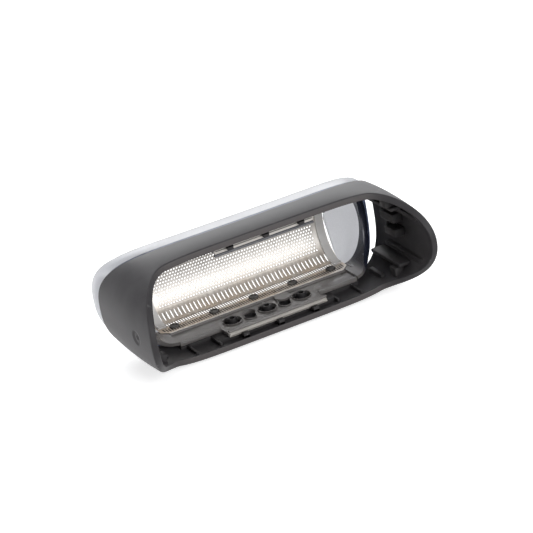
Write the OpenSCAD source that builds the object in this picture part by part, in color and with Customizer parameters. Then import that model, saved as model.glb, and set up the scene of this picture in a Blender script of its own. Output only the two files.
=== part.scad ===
// Foil head of an electric shaver: a moulded frame, a bright trim ring,
// and an arched perforated foil held by a clear carrier of two rails and two end loops.
// It lies on one long side. The opening faces -Y and the foil side faces +Y.
// Depth is measured along Y from the plane of the opening's long edges.

/* [Frame] */
// Half of the outer length at the shoulder, where the ring starts
shoulder_half_length = 29.9; // [26:0.1:33]
// Half of the outer width at the shoulder
shoulder_half_width = 10.85; // [9.5:0.05:12]
// How much the opening is tucked in at each end
rim_end_tuck = 0.3; // [0.1:0.1:0.8]
// How much the opening is tucked in at each side
rim_side_tuck = 0.25; // [0.1:0.05:0.5]
// How far the rounded end lobes reach out past the long edges
lobe_reach = 9.4; // [6:0.1:12]
// Depth of the shoulder at the middle of the long sides
shoulder_depth = 6.2; // [5.4:0.1:7]
// Extra depth of the shoulder at the two ends
shoulder_rise = 7.4; // [5:0.1:9]
// Thickness of the frame's wall
frame_wall = 1.25; // [1:0.05:1.5]
// Outward belly of the frame's wall between the rim and the shoulder
belly = 0.3; // [0.2:0.05:0.6]

/* [Trim ring] */
// Step from the shoulder's end in to the ring's lower edge
ring_end_step = 2; // [1.6:0.1:3]
// Step from the shoulder's side in to the ring's lower edge
ring_side_step = 0.2; // [0.1:0.05:0.5]
// How far the ring's ends lean out above the shoulder
ring_flare = 1.4; // [0.6:0.1:1.8]
// Height of the ring's crest above the shoulder, beside the foil
crest_height = 7; // [6:0.1:8.5]
// Extra depth of the crest at the two ends
crest_rise = 6.6; // [5:0.1:8]
// Thickness of the ring's shell
ring_wall = 0.7; // [0.5:0.05:0.9]

/* [Foil] */
// Space from the ring's lower edge in to the foil's end
foil_end_space = 7.8; // [6.5:0.1:10]
// Space from the ring's lower edge in to the foil's flank
foil_side_space = 2.95; // [2.7:0.05:3.4]
// How far the foil's free edges lie below the ring's crest
foil_edge_drop = 3.7; // [3:0.1:4.4]
// Height of the foil's flat flanks
foil_flank = 3.5; // [3:0.1:4.2]
// Height of the foil's arch above its flanks
foil_arch = 5.3; // [4:0.1:6]
// Thickness of the foil sheet
foil_sheet = 0.08; // [0.06:0.01:0.15]

/* [Carrier] */
// How far the rails' near edge lies below the shoulder
rail_drop = 1.3; // [1:0.1:1.8]
// Thickness of a rail
rail_plate = 0.7; // [0.5:0.05:0.9]
// How far a tab hangs below its rail
tab_drop = 3.5; // [2.8:0.1:4]
// Diameter of the round holes in a tab
tab_hole_d = 3; // [2.6:0.1:3.2]
// Distance between neighbouring round holes
tab_hole_pitch = 7.4; // [6.8:0.1:8]
// Plastic beyond the last hole of a tab
tab_end = 1.5; // [1:0.1:2]
// Distance from the foil's end to its last rivet
rivet_end = 3.2; // [2.6:0.1:4]
// Diameter of a rivet's head
rivet_head_d = 1.7; // [1.3:0.1:2]

/* [Hidden] */

// Colours
charcoal = "dimgray";
silver = "lavender";
clear_grey = "lightsteelblue";
steel = "gainsboro";

// Clearances: between seated pieces, and at a butt joint
fit_gap = 0.1;
butt_gap = 0.1;
// Overrun of every cut past the face that it opens
cut_over = 0.2;
// Root of a rib or block inside the wall that carries it
root = 0.5;

// Half sizes of the opening, the ring and the foil, each a step in from the one outside it
rim_half_length = shoulder_half_length - rim_end_tuck;
rim_half_width = shoulder_half_width - rim_side_tuck;
ring_half_length = shoulder_half_length - ring_end_step;
ring_half_width = shoulder_half_width - ring_side_step;
foil_half_length = ring_half_length - foil_end_space;
foil_half_width = ring_half_width - foil_side_space;

// Depths, stacked up from the shoulder
end_shoulder_depth = shoulder_depth + shoulder_rise;
crest_depth = shoulder_depth + crest_height;
foil_edge_depth = crest_depth - foil_edge_drop;
foil_flank_depth = foil_edge_depth + foil_flank;
foil_crown_depth = foil_flank_depth + foil_arch;
rail_depth = shoulder_depth - rail_drop;
rail_end_depth = crest_depth - ring_wall - 2 * fit_gap;
tab_depth = rail_depth - tab_drop;

// Powers of the outlines, in x and in z, and the spacing of points along a quarter turn
rim_power_shares = [6.9, 2.1];
shoulder_power_shares = [4.9, 2.7];
window_power_shares = [30, 30];
spacing_share = 0.77;
// The lobes start at this share of the rim's half length and sweep with this power
lobe_start_share = 0.72;
lobe_power_share = 1.7;
rise_power_share = 4.1;
columns = 72;
wall_rows = 6;
dome_rows = 9;
// Rivets along each flank of the foil, one node each
rivet_count = 5;

// An outline in x and z: the point at a turn, and the outward direction there
function turn(i) = 360 * i / columns;
function reach(a) = pow(abs(cos(a)), spacing_share);
function oval(a, l, w, s) = [sign(cos(a)) * l * reach(a),
    sign(round(1e6 * sin(a))) * w * pow(max(0, 1 - pow(reach(a), s[0])), 1 / s[1])];
function slope(p, l, w, s) = [sign(p[0]) * s[0] / l * pow(abs(p[0] / l), s[0] - 1),
    sign(p[1]) * s[1] / w * pow(abs(p[1] / w), s[1] - 1)];
function unit(v) = v / norm(v);
function oval_out(a, l, w, s) = unit(slope(oval(a, l, w, s), l, w, s));
function mix(a, b, t) = a + (b - a) * t;

// Depth of the rim and of the shoulder at a distance x from the middle
function rim_depth(x) = -lobe_reach * pow(max(0, abs(x) / rim_half_length - lobe_start_share)
    / (1 - lobe_start_share), lobe_power_share);
function shoulder_at(x) = shoulder_depth
    + shoulder_rise * pow(abs(x) / shoulder_half_length, rise_power_share);

// Frame wall: a loft from the rim to the shoulder with a belly, moved in by inset
function rim_point(a) = oval(a, rim_half_length, rim_half_width, rim_power_shares);
function shoulder_point(a) = oval(a, shoulder_half_length, shoulder_half_width,
    shoulder_power_shares);
function wall_out(a, t) = unit(mix(oval_out(a, rim_half_length, rim_half_width, rim_power_shares),
    oval_out(a, shoulder_half_length, shoulder_half_width, shoulder_power_shares), t));
function frame_point(a, t, inset) =
    let (flat_point = mix(rim_point(a), shoulder_point(a), t)
            + wall_out(a, t) * (belly * 4 * t * (1 - t) - inset),
        depth = mix(rim_depth(rim_point(a)[0]), shoulder_at(shoulder_point(a)[0]), t))
    [flat_point[0], depth, flat_point[1]];
frame_rows = concat([for (i = [0:wall_rows]) [i / wall_rows, 0]],
    [for (i = [wall_rows:-1:0]) [i / wall_rows, frame_wall]]);
frame_points = [for (r = frame_rows) for (i = [0:columns - 1]) frame_point(turn(i), r[0], r[1])];

// Ring: an outward leaning wall, then a dome that closes in to the foil's window
window_end_gap = 0.2;
window_side_gap = 0.4;
window_half_length = foil_half_length + window_end_gap;
window_half_width = foil_half_width + window_side_gap;
window_crown = foil_crown_depth + ring_wall / 2 - crest_at(window_half_length);
end_crown = 1.1;
ring_lean_in = 0.05;
ring_seat_gap = fit_gap / 2;
// At the ends the ring stands clear of the shoulder and leaves a slot
end_slot = 1.3;
// Share of the ring's height that is a plain wall, at the sides and at the ends
side_wall_share = 0.35;
end_wall_share = 0.42;
// Powers of the dome's curve at the sides and at the ends, and of the change between them
side_dome_share = 2;
end_dome_share = 3;
end_power_share = 6;
function crest_at(x) = crest_depth
    + crest_rise * pow(abs(x) / (ring_half_length + ring_flare), rise_power_share);
function crown_at(x, z) = mix(window_crown, end_crown,
        max(0, min(1, (abs(x) - window_half_length)
            / (ring_half_length + ring_flare - window_half_length))))
    * max(0, 1 - pow(z / window_half_width, 2));
function ring_low(a, inset) = oval(a, ring_half_length - inset, ring_half_width - inset,
    shoulder_power_shares);
function ring_mid(a, inset) = oval(a, ring_half_length + ring_flare - inset,
    ring_half_width - ring_lean_in - inset, shoulder_power_shares);
function window_point(a) = oval(a, window_half_length, window_half_width, window_power_shares);
function end_share(a) = pow(reach(a), end_power_share);
// The ring's lower edge follows the shoulder one frame wall further out, so it stands on it
function ring_low_depth(a) = shoulder_at(abs(ring_low(a, 0)[0]) + frame_wall
    * abs(oval_out(a, ring_half_length, ring_half_width, shoulder_power_shares)[0]))
    + ring_seat_gap + end_slot * end_share(a);
function ring_mid_depth(a) = ring_low_depth(a)
    + crest_height * mix(side_wall_share, end_wall_share, end_share(a));
function dome_power(a) = mix(side_dome_share, end_dome_share, end_share(a));
function dome_point(a, t, inset) =
    let (h = 1 - cos(90 * t), p = mix(ring_mid(a, inset), window_point(a), h),
        top = crest_at(p[0]) + crown_at(p[0], p[1]) - inset,
        low = ring_mid_depth(a),
        lift = pow(max(0, 1 - pow(1 - h, dome_power(a))), 1 / dome_power(a)))
    [p[0], mix(low, top, lift), p[1]];
function ring_point(a, k, inset) = k == 0
    ? [ring_low(a, inset)[0], ring_low_depth(a), ring_low(a, inset)[1]]
    : dome_point(a, (k - 1) / dome_rows, inset);
ring_rows = concat([for (k = [0:dome_rows + 1]) [k, 0]],
    [for (k = [dome_rows + 1:-1:0]) [k, ring_wall]]);
ring_points = [for (r = ring_rows) for (i = [0:columns - 1]) ring_point(turn(i), r[0], r[1])];

// Foil: flat flanks and an elliptical arch, as a profile in depth and z
foil_flank_rows = 4;
foil_arch_rows = 20;
foil_rows = 2 * foil_flank_rows + foil_arch_rows;
// Rivets lie this far below the rail's far edge, with twelve cells from one to the next
rivet_edge = 0.6;
rivet_depth = rail_end_depth - rivet_edge;
rivet_pitch = (foil_half_length - rivet_end) / ((rivet_count - 1) / 2);
rivet_opening = 0.9;
rivet_cells = 12;
foil_cell = rivet_pitch / rivet_cells;
foil_columns = 2 * floor(foil_half_length / foil_cell - 1 / 2) + 1;
middle_column = (foil_columns - 1) / 2;
rivet_row = 2;
// Columns left whole at each end of the foil
plain_columns = 3;
// Depths of the rows on a flank: the third row holds the rivets' openings
flank_depths = [foil_edge_depth, (foil_edge_depth + rivet_depth - rivet_opening / 2) / 2,
    rivet_depth - rivet_opening / 2, rivet_depth + rivet_opening / 2, foil_flank_depth];
function foil_profile(j, inset) = let (w = foil_half_width - inset, c = foil_crown_depth - inset)
    j < foil_flank_rows ? [flank_depths[j], -w]
        : j > foil_flank_rows + foil_arch_rows ? [flank_depths[foil_rows - j], w]
            : let (q = 180 * (j - foil_flank_rows) / foil_arch_rows)
                [foil_flank_depth + (c - foil_flank_depth) * sin(q), -w * cos(q)];
function foil_x(i) = i == 0 ? -foil_half_length : i == foil_columns ? foil_half_length
    : foil_cell * (i - foil_columns / 2);
// An open cell is a hair opening of the arch, staggered from row to row, or a hole for a rivet
function foil_open(i, j) = foil_hair_open(i - middle_column, j)
    || foil_rivet_open(abs(i - middle_column), min(j, foil_rows - 1 - j));
function foil_hair_open(n, j) = abs(n) <= middle_column - plain_columns
    && j > foil_flank_rows && j < foil_flank_rows + foil_arch_rows - 1
    && j % 2 == 1 && (abs(n) + j - 1) % 4 == 0;
function foil_rivet_open(n, j) = j == rivet_row && n % rivet_cells == 0
    && n / rivet_cells <= (rivet_count - 1) / 2;
foil_points = concat(
    [for (j = [0:foil_rows]) for (i = [0:foil_columns])
        let (q = foil_profile(j, 0)) [foil_x(i), q[0], q[1]]],
    [for (j = [0:foil_rows]) for (i = [0:foil_columns])
        let (q = foil_profile(j, foil_sheet)) [foil_x(i), q[0], q[1]]]);

// Places across the width, from the foil's flank outward
rail_face = foil_half_width + fit_gap / 2;
rail_step = 0.35;
tab_face = rail_face + rail_step;
rail_back = tab_face + rail_plate;
// The rail's far strip, behind the rivets, is thinner so that it clears the ring's lip
far_strip_back = rail_back - rail_step;
seat_face = rail_back + fit_gap;
seat_plate = 0.4;
seat_back = seat_face + seat_plate;
// Roots of what stands inside the long walls: a face inside the frame's wall
seat_root = shoulder_half_width - frame_wall + root;

// Places along the length and the depth
joint_back = 1.1;
joint_x = foil_half_length - joint_back;
far_strip = 1;
step_depth = foil_edge_depth - 2 * fit_gap;
seat_depth = 2.2;
seat_rise = 3.2;
bead = 0.6;
nib_width = 1.2;
nib_depth = 0.3;
tab_half_length = tab_hole_pitch + tab_hole_d / 2 + tab_end;
pocket_end = 2.1;
pocket_half_length = tab_half_length + pocket_end;
outer_rib_back = 1.5;
outer_rib_x = joint_x - outer_rib_back;
rib_width = 0.5;
tab_hole_depth = rail_depth + rail_drop;
slot_hole_width = 1.9;
slot_hole_reach = 0.7;
slot_tilt = 18;
peg_gap = 0.5;
peg_d = tab_hole_d - 2 * peg_gap;
tab_gap_depth = 1.8;
tongue_x = 4.4;
tongue_d = 3.4;
tongue_reach = 0.9;
rivet_shank_d = 0.6;
rivet_head = 0.25;

// End loops: straight beside the foil, then half an ellipse round the end
loop_start = foil_half_length + butt_gap;
loop_end_gap = 1;
loop_half_length = ring_half_length - ring_wall - loop_end_gap;
loop_half_width = far_strip_back;
loop_end_wall = 1.5;
loop_side_wall = loop_half_width - rail_face;
loop_end_height = 1;
loop_power_share = 1.4;
loop_rows = 14;
bow_width = 1.6;
bow_sheet = 0.45;
bow_gap = fit_gap / 2;
foot_reach = 1.8;
foot_sink = 1.2;
foot_depth = rail_end_depth - foil_edge_depth - 2 * fit_gap;
foot_top = foil_half_width - foil_sheet - bow_gap - bow_sheet;

// End details of the frame, on the inner face of the end wall and in the corners.
// Their roots run through the wall and are trimmed at its middle.
end_face = rim_half_length - frame_wall;
end_root = end_face + frame_wall;
side_root = shoulder_half_width;
end_rib_side = 6.45;
end_rib_z = shoulder_half_width - end_rib_side;
end_rib = 0.9;
end_rib_margin = 1;
end_rib_near = end_rib_margin - lobe_reach;
end_rib_drop = 5.8;
end_rib_far = end_shoulder_depth - end_rib_drop;
latch_reach = 1.8;
latch_depth = 5;
latch_low_depth = 1.4;
latch_side = 1;
latch_top_z = end_rib_z - latch_side;
latch_height = 1.8;
latch_gap = 1.4;
latch_box = 1.5;
post = 1;
post_back = 5.15;
post_x = end_face - post_back;
post_reach = 0.9;
stop_side = 4.35;
stop_z = shoulder_half_width - stop_side;
stop_height = 0.5;
stop_drop = 1.6;
stop_depth = end_shoulder_depth - stop_drop;
stop_back = 1.95;
stop_x = end_face - stop_back;
bracket_side = 4.65;
bracket_z = shoulder_half_width - bracket_side;
bracket_back = 4.15;
bracket_x = end_face - bracket_back;
bracket_length = 2;
dimple_ball_d = 9.6;
dimple_sink = 0.25;
dimple_rise = 6.2;
dimple_depth = dimple_rise - lobe_reach;
dimple_face = frame_point(0, dimple_rise / (lobe_reach + end_shoulder_depth), 0)[0];

// Shift that puts the origin at the middle of the box's underside
low_z = min([for (p = frame_points) p[2]]);
near_y = min([for (p = frame_points) p[1]]);
far_y = max([for (p = ring_points) p[1]]);
shift = [0, -(near_y + far_y) / 2, -low_z];

// A closed band of rows of points, each row a full turn
module band(points, rows) {
    polyhedron(points = points, faces = [for (r = [0:rows - 1]) for (i = [0:columns - 1])
        let (n = (i + 1) % columns, s = (r + 1) % rows)
        for (f = [[r * columns + i, r * columns + n, s * columns + n],
            [r * columns + i, s * columns + n, s * columns + i]]) f], convexity = 6);
}

// A block given by its corners' ranges
module block(x, y, z) {
    translate([x[0], y[0], z[0]]) cube([x[1] - x[0], y[1] - y[0], z[1] - z[0]]);
}

// The same shape on the upper and the lower long side, or at both ends
module both_sides() {
    children();
    mirror([0, 0, 1]) children();
}

module both_ends() {
    children();
    mirror([1, 0, 0]) children();
}

// Seats on the lower long side: a plate under the rail, nibs under the tab and snap pegs
module lower_seats() {
    block([-pocket_half_length, pocket_half_length], [seat_depth, shoulder_depth - fit_gap],
        [-seat_root, -seat_face]);
    block([-joint_x, joint_x], [rail_depth, shoulder_depth - fit_gap], [-seat_root, -seat_face]);
    block([-pocket_half_length, pocket_half_length], [shoulder_depth - root, shoulder_depth + seat_rise],
        [-seat_back, -seat_face]);
    for (k = [-1:1])
        block([k * tab_hole_pitch - nib_width / 2, k * tab_hole_pitch + nib_width / 2],
            [nib_depth, seat_depth + cut_over], [-seat_root, -seat_face]);
    for (x = [-pocket_half_length, pocket_half_length, -outer_rib_x, outer_rib_x])
        block([x - rib_width / 2, x + rib_width / 2], [nib_depth + bead, rail_depth + cut_over],
            [-seat_root, -seat_face]);
    for (k = [-1:1])
        translate([k * tab_hole_pitch, tab_hole_depth, -seat_face - cut_over])
            cylinder(d = peg_d, h = seat_face + cut_over - tab_face, $fn = 32);
}

// Inside of the right end: two long ribs, and a latch pocket between an upper and a lower block
module right_end_details() {
    latch_far = latch_low_depth + latch_depth;
    gap_top = latch_top_z - latch_height;
    box_top = gap_top - latch_gap;
    for (z = [-end_rib_z, end_rib_z])
        block([end_face - end_rib, end_root], [end_rib_near, end_rib_far],
            [z - end_rib / 2, z + end_rib / 2]);
    block([end_face - latch_reach, end_root], [latch_low_depth, latch_far],
        [gap_top, latch_top_z]);
    block([end_face - latch_reach, end_root], [latch_low_depth, latch_far - post],
        [box_top - latch_box, box_top]);
    block([end_face - post, end_root], [latch_far - post, latch_far],
        [box_top - latch_box, latch_top_z]);
}

// Details of one corner, taken at the lower right and mirrored to the others
module corner_details() {
    block([post_x - post / 2, post_x + post / 2], [seat_depth, seat_depth + latch_depth],
        [-side_root, -seat_face + post_reach]);
    block([bracket_x, bracket_x + bracket_length], [-post, seat_depth - post],
        [-side_root, -bracket_z]);
    block([stop_x, end_root], [stop_depth - post, stop_depth],
        [-stop_z - stop_height, -stop_z]);
}

// Solid plug that fills the frame up to the middle of its wall, to trim what is added inside
module frame_core() {
    core_points = [for (r = [0:wall_rows]) for (i = [0:columns - 1])
        frame_point(turn(i), r / wall_rows, frame_wall / 2)];
    near = [0, near_y, 0];
    far = [0, end_shoulder_depth, 0];
    last = len(core_points);
    polyhedron(points = concat(core_points, [near, far]),
        faces = concat([for (r = [0:wall_rows - 1]) for (i = [0:columns - 1])
            let (n = (i + 1) % columns)
            for (f = [[r * columns + i, r * columns + n, (r + 1) * columns + n],
                [r * columns + i, (r + 1) * columns + n, (r + 1) * columns + i]]) f],
            [for (i = [0:columns - 1]) [last, (i + 1) % columns, i]],
            [for (i = [0:columns - 1])
                [last + 1, wall_rows * columns + i, wall_rows * columns + (i + 1) % columns]]),
        convexity = 6);
}

module outer_frame() {
    color(charcoal) translate(shift) difference() {
        union() {
            band(frame_points, 2 * (wall_rows + 1));
            both_sides() lower_seats();
            intersection() {
                frame_core();
                union() {
                    both_ends() right_end_details();
                    both_ends() both_sides() corner_details();
                }
            }
        }
        both_ends() translate([dimple_face + dimple_ball_d / 2 - dimple_sink, dimple_depth, 0])
            sphere(d = dimple_ball_d, $fn = 48);
    }
}

module trim_ring() {
    color(silver) translate(shift) band(ring_points, 2 * (dome_rows + 2));
}

// One rail with its tab, on the lower side
module rail_body() {
    difference() {
        union() {
            block([butt_gap / 2 - joint_x, joint_x - butt_gap / 2],
                [rail_depth, rail_end_depth - far_strip], [-rail_back, -tab_face]);
            block([butt_gap / 2 - joint_x, joint_x - butt_gap / 2],
                [step_depth, rail_end_depth - far_strip], [-rail_back, -rail_face]);
            block([butt_gap / 2 - joint_x, joint_x - butt_gap / 2],
                [step_depth, rail_end_depth], [-far_strip_back, -rail_face]);
            block([butt_gap / 2 - joint_x, joint_x - butt_gap / 2],
                [rail_depth, rail_depth + bead], [-rail_back, -rail_face]);
            block([-tab_half_length, tab_half_length], [tab_depth, rail_depth + bead],
                [-rail_back, -tab_face]);
            block([-tab_half_length, tab_half_length], [tab_depth, tab_depth + bead],
                [-tab_face - cut_over, -tab_face + rail_plate]);
            translate([tongue_x, step_depth - tongue_reach, -rail_back])
                cylinder(d = tongue_d, h = rail_back - rail_face, $fn = 32);
        }
        tab_cuts();
    }
}

// Holes of a tab: three round ones for the pegs, two slanted slots, and four gaps behind its lip
module tab_cuts() {
    for (k = [-1:1])
        translate([k * tab_hole_pitch, tab_hole_depth, -rail_back - cut_over])
            cylinder(d = tab_hole_d, h = rail_back, $fn = 32);
    for (k = [-1, 1])
        translate([k * tab_hole_pitch / 2, tab_hole_depth, -rail_back - cut_over])
            rotate([0, 0, slot_tilt]) {
                for (s = [-1, 1]) translate([0, s * slot_hole_reach, 0])
                    cylinder(d = slot_hole_width, h = rail_back, $fn = 24);
                translate([-slot_hole_width / 2, -slot_hole_reach, 0])
                    cube([slot_hole_width, 2 * slot_hole_reach, rail_back]);
            }
    for (x = [[bead - tab_half_length, -tab_hole_pitch - nib_width / 2],
            [nib_width / 2 - tab_hole_pitch, -nib_width / 2],
            [nib_width / 2, tab_hole_pitch - nib_width / 2],
            [tab_hole_pitch + nib_width / 2, tab_half_length - bead]])
        block(x, [tab_depth - cut_over, tab_depth + tab_gap_depth],
            [-rail_back - cut_over, -tab_face]);
    block([-tab_half_length + bead, tab_half_length - bead],
        [rail_depth - cut_over, rail_depth + bead + cut_over], [-tab_face, -rail_face + cut_over]);
    for (k = [0:rivet_count - 1])
        translate([rivet_x(k), rivet_depth, -rail_back - cut_over])
            cylinder(d = rivet_shank_d + fit_gap, h = rail_back, $fn = 24);
}

function rivet_x(k) = rivet_pitch * (k - (rivet_count - 1) / 2);

module lower_rail() {
    color(clear_grey) translate(shift) rail_body();
}

module upper_rail() {
    color(clear_grey) translate(shift) mirror([0, 0, 1]) rail_body();
}

// Right end loop: a band that turns round the end, and a bow that lines the foil's end.
// The band's first and last points lie at the joints with the rails, the others on a half ellipse.
function loop_flat(i, end_inset, side_inset) =
    let (a = mix(-90, 90, max(0, min(1, (i - 1) / (loop_rows - 2)))))
    [i == 0 || i == loop_rows ? joint_x + butt_gap / 2
            : loop_start + (loop_half_length - end_inset - loop_start) * cos(a),
        (loop_half_width - side_inset) * sin(a)];
function loop_near(x) = rail_depth + (rail_end_depth - loop_end_height - rail_depth)
    * pow(max(0, x - joint_x) / (loop_half_length - joint_x), loop_power_share);
module loop_band() {
    points = [for (r = [0:3]) for (i = [0:loop_rows])
        let (outer = loop_flat(i, 0, 0), far = r == 1 || r == 2,
            p = r < 2 ? outer : loop_flat(i, loop_end_wall, loop_side_wall))
        [p[0], far ? rail_end_depth : loop_near(outer[0]), p[1]]];
    w = loop_rows + 1;
    polyhedron(points = points, faces = concat(
        [for (r = [0:3]) for (i = [0:loop_rows - 1])
            let (s = (r + 1) % 4) for (f = [[r * w + i, s * w + i + 1, r * w + i + 1],
                [r * w + i, s * w + i, s * w + i + 1]]) f],
        [[0, w, 2 * w, 3 * w], [4 * w - 1, 3 * w - 1, 2 * w - 1, w - 1]]), convexity = 6);
}

// The bow's section along x: an arch inside the foil with two straight legs
module bow_section(inset) {
    w = foil_half_width - foil_sheet - bow_gap - inset;
    c = foil_crown_depth - foil_sheet - bow_gap - inset - foil_flank_depth;
    leg = foil_edge_depth - foil_flank_depth - (inset > 0 ? cut_over : 0);
    polygon(concat([[leg, w]], [for (q = [0:9:180]) [c * sin(q), w * cos(q)]], [[leg, -w]]));
}

module bow() {
    translate([joint_x - bow_width / 2, foil_flank_depth, 0]) rotate([90, 0, 90])
        linear_extrude(height = bow_width) difference() {
            bow_section(0);
            bow_section(bow_sheet);
        }
}

module right_loop_body() {
    loop_band();
    bow();
    both_sides() block([loop_start, foil_half_length + foot_reach],
        [foil_edge_depth, foil_edge_depth + foot_depth], [-rail_face - fit_gap, -foot_top]);
    both_sides() block([foil_half_length - foot_sink, foil_half_length + foot_reach],
        [foil_edge_depth, foil_edge_depth + foot_depth],
        [-foot_top - bow_sheet, -foot_top]);
}

module right_end_loop() {
    color(clear_grey) translate(shift) right_loop_body();
}

module left_end_loop() {
    color(clear_grey) translate(shift) mirror([1, 0, 0]) right_loop_body();
}

// Perforated foil: a sheet of cells, some of them open, closed along its edges
module shaver_foil() {
    w = foil_columns + 1;
    top = w * (foil_rows + 1);
    function at(i, j) = j * w + i;
    function solid(i, j) = i >= 0 && i < foil_columns && j >= 0 && j < foil_rows
        && !foil_open(i, j);
    function wall(a, b) = [[a, top + b, b], [a, top + a, top + b]];
    color(steel) translate(shift) polyhedron(points = foil_points, faces = [
        for (j = [0:foil_rows - 1]) for (i = [0:foil_columns - 1]) if (solid(i, j))
            for (f = concat(
                [[at(i, j), at(i + 1, j + 1), at(i, j + 1)],
                    [at(i, j), at(i + 1, j), at(i + 1, j + 1)],
                    [top + at(i, j), top + at(i, j + 1), top + at(i + 1, j + 1)],
                    [top + at(i, j), top + at(i + 1, j + 1), top + at(i + 1, j)]],
                solid(i, j - 1) ? [] : wall(at(i, j), at(i + 1, j)),
                solid(i, j + 1) ? [] : wall(at(i + 1, j + 1), at(i, j + 1)),
                solid(i - 1, j) ? [] : wall(at(i, j + 1), at(i, j)),
                solid(i + 1, j) ? [] : wall(at(i + 1, j), at(i + 1, j + 1)))) f],
        convexity = 8);
}

// A rivet: a shank through the foil and the rail, with a low head inside the foil
module rivet(side, k) {
    head_face = foil_half_width - foil_sheet - fit_gap / 4;
    color(steel) translate(shift) mirror([0, 0, side])
        translate([rivet_x(k), rivet_depth, 0]) {
            translate([0, 0, -far_strip_back])
                cylinder(d = rivet_shank_d, h = far_strip_back - head_face + rivet_head / 2, $fn = 24);
            translate([0, 0, -head_face]) cylinder(d = rivet_head_d, h = rivet_head, $fn = 24);
        }
}

outer_frame();
trim_ring();
lower_rail();
upper_rail();
left_end_loop();
right_end_loop();
shaver_foil();
rivet(0, 0);  // rivet_lower_1
rivet(0, 1);  // rivet_lower_2
rivet(0, 2);  // rivet_lower_3
rivet(0, 3);  // rivet_lower_4
rivet(0, 4);  // rivet_lower_5
rivet(1, 0);  // rivet_upper_1
rivet(1, 1);  // rivet_upper_2
rivet(1, 2);  // rivet_upper_3
rivet(1, 3);  // rivet_upper_4
rivet(1, 4);  // rivet_upper_5
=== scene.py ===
import math

import bpy
import numpy as np
from mathutils import Matrix, Vector
from mathutils.geometry import delaunay_2d_cdt


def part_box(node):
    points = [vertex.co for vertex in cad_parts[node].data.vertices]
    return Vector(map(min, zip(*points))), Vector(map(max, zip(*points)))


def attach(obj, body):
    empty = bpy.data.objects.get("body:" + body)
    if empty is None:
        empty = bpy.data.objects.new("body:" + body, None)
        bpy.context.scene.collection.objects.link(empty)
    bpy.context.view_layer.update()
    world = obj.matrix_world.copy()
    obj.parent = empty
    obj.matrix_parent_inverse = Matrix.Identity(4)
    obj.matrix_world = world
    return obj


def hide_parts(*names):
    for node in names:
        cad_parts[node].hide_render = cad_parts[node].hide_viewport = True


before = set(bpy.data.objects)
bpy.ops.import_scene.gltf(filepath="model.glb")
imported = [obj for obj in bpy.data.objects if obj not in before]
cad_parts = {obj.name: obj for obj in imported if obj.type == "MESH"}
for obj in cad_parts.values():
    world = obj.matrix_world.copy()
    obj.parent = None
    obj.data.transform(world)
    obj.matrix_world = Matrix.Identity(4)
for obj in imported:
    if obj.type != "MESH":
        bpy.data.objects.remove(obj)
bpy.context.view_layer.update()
print("frame loaded:", len(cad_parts), "nodes")

# Every shape below is worked out in millimetres: x along the head, depth from the rim plane
# towards the foil, and height from the mid plane. The shift to the frame is read off the frame.
head = {
    "lobeReach": 9.4, "rimHalfLength": 29.6, "rimHalfWidth": 10.6,
    "shoulderHalfLength": 29.9, "shoulderHalfWidth": 10.85,
    "shoulderDepth": 6.2, "shoulderRise": 7.4,
    "rimPowers": (6.9, 2.1), "shoulderPowers": (4.9, 2.7),
    "lobeStart": 0.72, "lobePower": 1.7, "risePower": 4.1, "spacing": 0.77,
    "wall": 1.25, "endWall": 0.95, "belly": 0.3, "millimetre": 0.001,
}
frameLow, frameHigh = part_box("outer_frame")
depthShift = frameLow.y / head["millimetre"] + head["lobeReach"]
heightShift = (frameLow.z + frameHigh.z) / 2 / head["millimetre"]
rimShape = head["rimHalfLength"], head["rimHalfWidth"], head["rimPowers"]
shoulderShape = head["shoulderHalfLength"], head["shoulderHalfWidth"], head["shoulderPowers"]


def mix(a, b, share):
    # a at share 0, b at share 1
    return a + (b - a) * share


def smooth(value, low, high):
    # 0 below low, 1 above high, an S curve 3t^2 - 2t^3 between
    t = np.clip((value - low) / (high - low), 0, 1)
    return t * t * (3 - 2 * t)


def outline(turn, halfLength, halfWidth, powers):
    # a superellipse: u = |cos a|^spacing, x = L u, z = W (1 - u^n)^(1/m)
    u = np.abs(np.cos(turn)) ** head["spacing"]
    side = np.sign(np.round(np.sin(turn), 9))
    z = halfWidth * np.maximum(0, 1 - u ** powers[0]) ** (1 / powers[1])
    return np.sign(np.cos(turn)) * halfLength * u, side * z


def outward(turn, halfLength, halfWidth, powers):
    # the superellipse's gradient, made a unit vector
    x, z = outline(turn, halfLength, halfWidth, powers)
    gx = np.sign(x) * powers[0] / halfLength * np.abs(x / halfLength) ** (powers[0] - 1)
    gz = np.sign(z) * powers[1] / halfWidth * np.abs(z / halfWidth) ** (powers[1] - 1)
    size = np.hypot(gx, gz)
    return gx / size, gz / size


def rimDepth(x):
    # 0 along the long sides, then the lobes sweep forward as -reach * share^power
    share = np.maximum(0, np.abs(x) / head["rimHalfLength"] - head["lobeStart"])
    return -head["lobeReach"] * (share / (1 - head["lobeStart"])) ** head["lobePower"]


def shoulderAt(x):
    # the shoulder rises to the ends as depth + rise * share^power
    share = np.abs(x) / head["shoulderHalfLength"]
    return head["shoulderDepth"] + head["shoulderRise"] * share ** head["risePower"]


def place(points):
    # millimetres about the head's own middle to metres in the frame
    points = np.asarray(points, float).reshape(-1, 3)
    return (points + (0, depthShift, heightShift)) * head["millimetre"]


def gridFaces(rows, columns, wrapRows, wrapColumns):
    # quads between neighbouring rows and columns of a grid, wrapped where it is closed
    i = np.arange(columns if wrapColumns else columns - 1)
    j = np.arange(rows if wrapRows else rows - 1)
    i, j = np.meshgrid(i, j)
    n, m = (i + 1) % columns, (j + 1) % rows
    corners = [j * columns + i, j * columns + n, m * columns + n, m * columns + i]
    return np.stack(corners, -1).reshape(-1, 4)


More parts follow.
